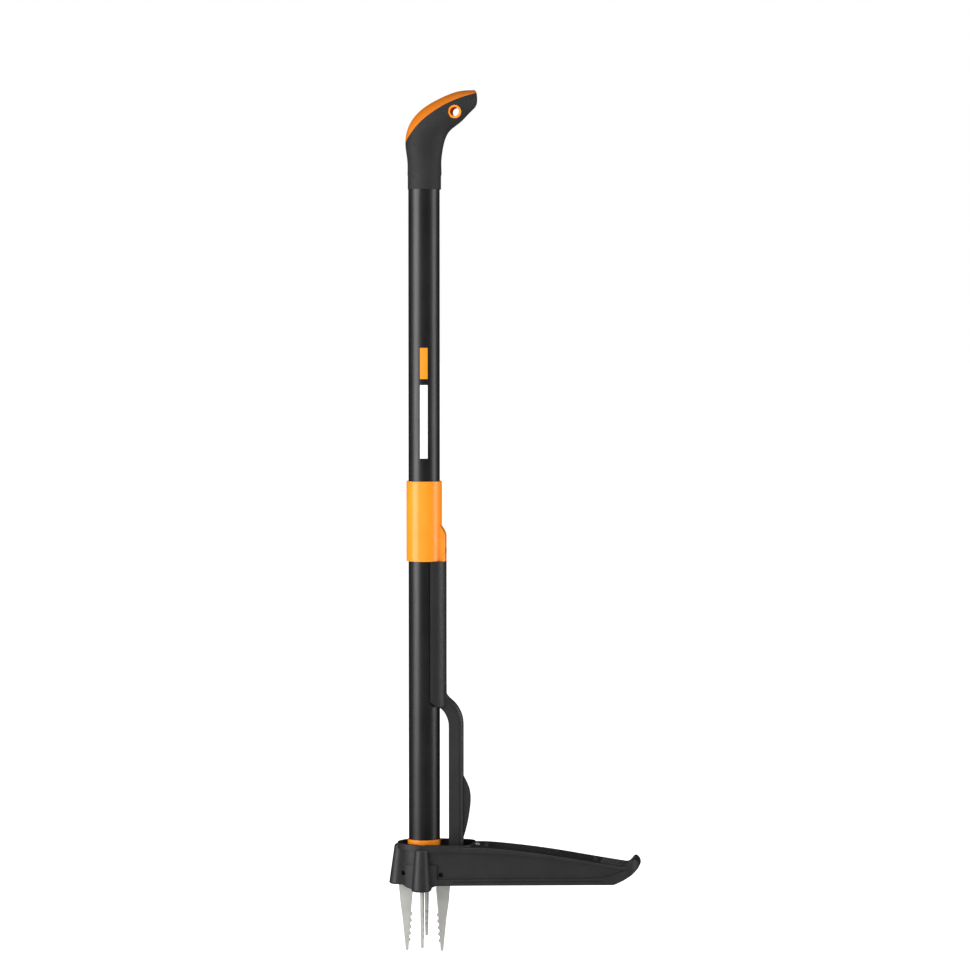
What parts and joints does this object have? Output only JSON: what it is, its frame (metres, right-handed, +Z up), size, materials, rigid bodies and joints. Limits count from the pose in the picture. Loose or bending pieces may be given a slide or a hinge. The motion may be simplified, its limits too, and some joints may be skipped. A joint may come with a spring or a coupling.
{
  "type": "stand up weeder",
  "caption": "Long-handled weed puller with a foot pedal, closing claws and a sliding ejector sleeve.",
  "frame": {"origin": "on the shaft's axis at the flat underside of the foot pedal, which is the soil line in use", "axes": "+Z up the shaft to the handle, +X along the pedal to its tip"},
  "size_m": [0.2939, 0.0828, 1.0021],
  "materials": {
    "black_coat": "satin powder coat on the aluminium tube",
    "black_nylon": "glass-filled nylon with a fine satin grain",
    "soft_grip": "matte soft-touch grip",
    "orange_plastic": "smooth orange moulding",
    "claw_steel": "blasted stainless sheet",
    "bright_steel": "zinc-plated",
    "spring_steel": "drawn wire",
    "tread_rubber": "pebbled soft tread"
  },
  "bodies": {
    "shaft": {"shaft_tube": "black_coat", "shaft_foot": "black_nylon", "foot_pin": "bright_steel", "foot_collar": "orange_plastic", "handle_core": "black_nylon", "handle_grip": "soft_grip", "handle_cap": "orange_plastic", "hang_eyelet": "orange_plastic", "handle_screw": "bright_steel"},
    "head": {"foot_pedal": "black_nylon", "pivot_keepers": "black_nylon", "claw_pins": "bright_steel", "pedal_screw": "bright_steel", "spring_seat": "bright_steel", "seat_screws": "bright_steel", "tread_pad": "tread_rubber"},
    "right_claw": {"claw_right": "claw_steel"},
    "back_claw": {"claw_back": "claw_steel"},
    "left_claw": {"claw_left": "claw_steel"},
    "front_claw": {"claw_front": "claw_steel"},
    "spreader": {"claw_spreader": "black_nylon", "return_spring": "spring_steel"},
    "ejector": {"ejector_sleeve": "orange_plastic", "sleeve_liner": "black_nylon", "ejector_rod": "black_nylon", "rod_screw": "bright_steel"},
    "plate": {"ejector_plate": "black_nylon"}
  },
  "joints": [
    {"name": "head_tilt", "type": "hinge", "parent": "shaft", "child": "head", "pos_m": [0, 0, 0.036], "axis": [0, -1, 0], "range_deg": [0, 9]},
    {"name": "ejector_slide", "type": "slide", "parent": "shaft", "child": "ejector", "axis": [0, 0, -1], "range_m": [0, 0.077]},
    {"name": "plate_slide", "type": "slide", "parent": "head", "child": "plate", "axis": [0, 0, -1], "range_m": [0, 0.077]},
    {"name": "spreader_slide", "type": "slide", "parent": "head", "child": "spreader", "axis": [0, 0, -1], "range_m": [0, 0.0026], "deforming": ["return_spring"]},
    {"name": "right_claw_close", "type": "hinge", "parent": "head", "child": "right_claw", "pos_m": [0.0226, 0, 0.013], "axis": [0, 1, 0], "range_deg": [0, 7.5]},
    {"name": "back_claw_close", "type": "hinge", "parent": "head", "child": "back_claw", "pos_m": [0, 0.0226, 0.013], "axis": [-1, 0, 0], "range_deg": [0, 7.5]},
    {"name": "left_claw_close", "type": "hinge", "parent": "head", "child": "left_claw", "pos_m": [-0.0226, 0, 0.013], "axis": [0, -1, 0], "range_deg": [0, 7.5]},
    {"name": "front_claw_close", "type": "hinge", "parent": "head", "child": "front_claw", "pos_m": [0, -0.0226, 0.013], "axis": [1, 0, 0], "range_deg": [0, 7.5]}
  ],
  "couplings": [
    {"joint": "plate_slide", "follows": "ejector_slide", "ratio": 1},
    {"joint": "spreader_slide", "follows": "head_tilt", "m_per_rad": 0.0165},
    {"joint": "right_claw_close", "follows": "head_tilt", "ratio": 0.82},
    {"joint": "back_claw_close", "follows": "head_tilt", "ratio": 0.82},
    {"joint": "left_claw_close", "follows": "head_tilt", "ratio": 0.82},
    {"joint": "front_claw_close", "follows": "head_tilt", "ratio": 0.82}
  ]
}
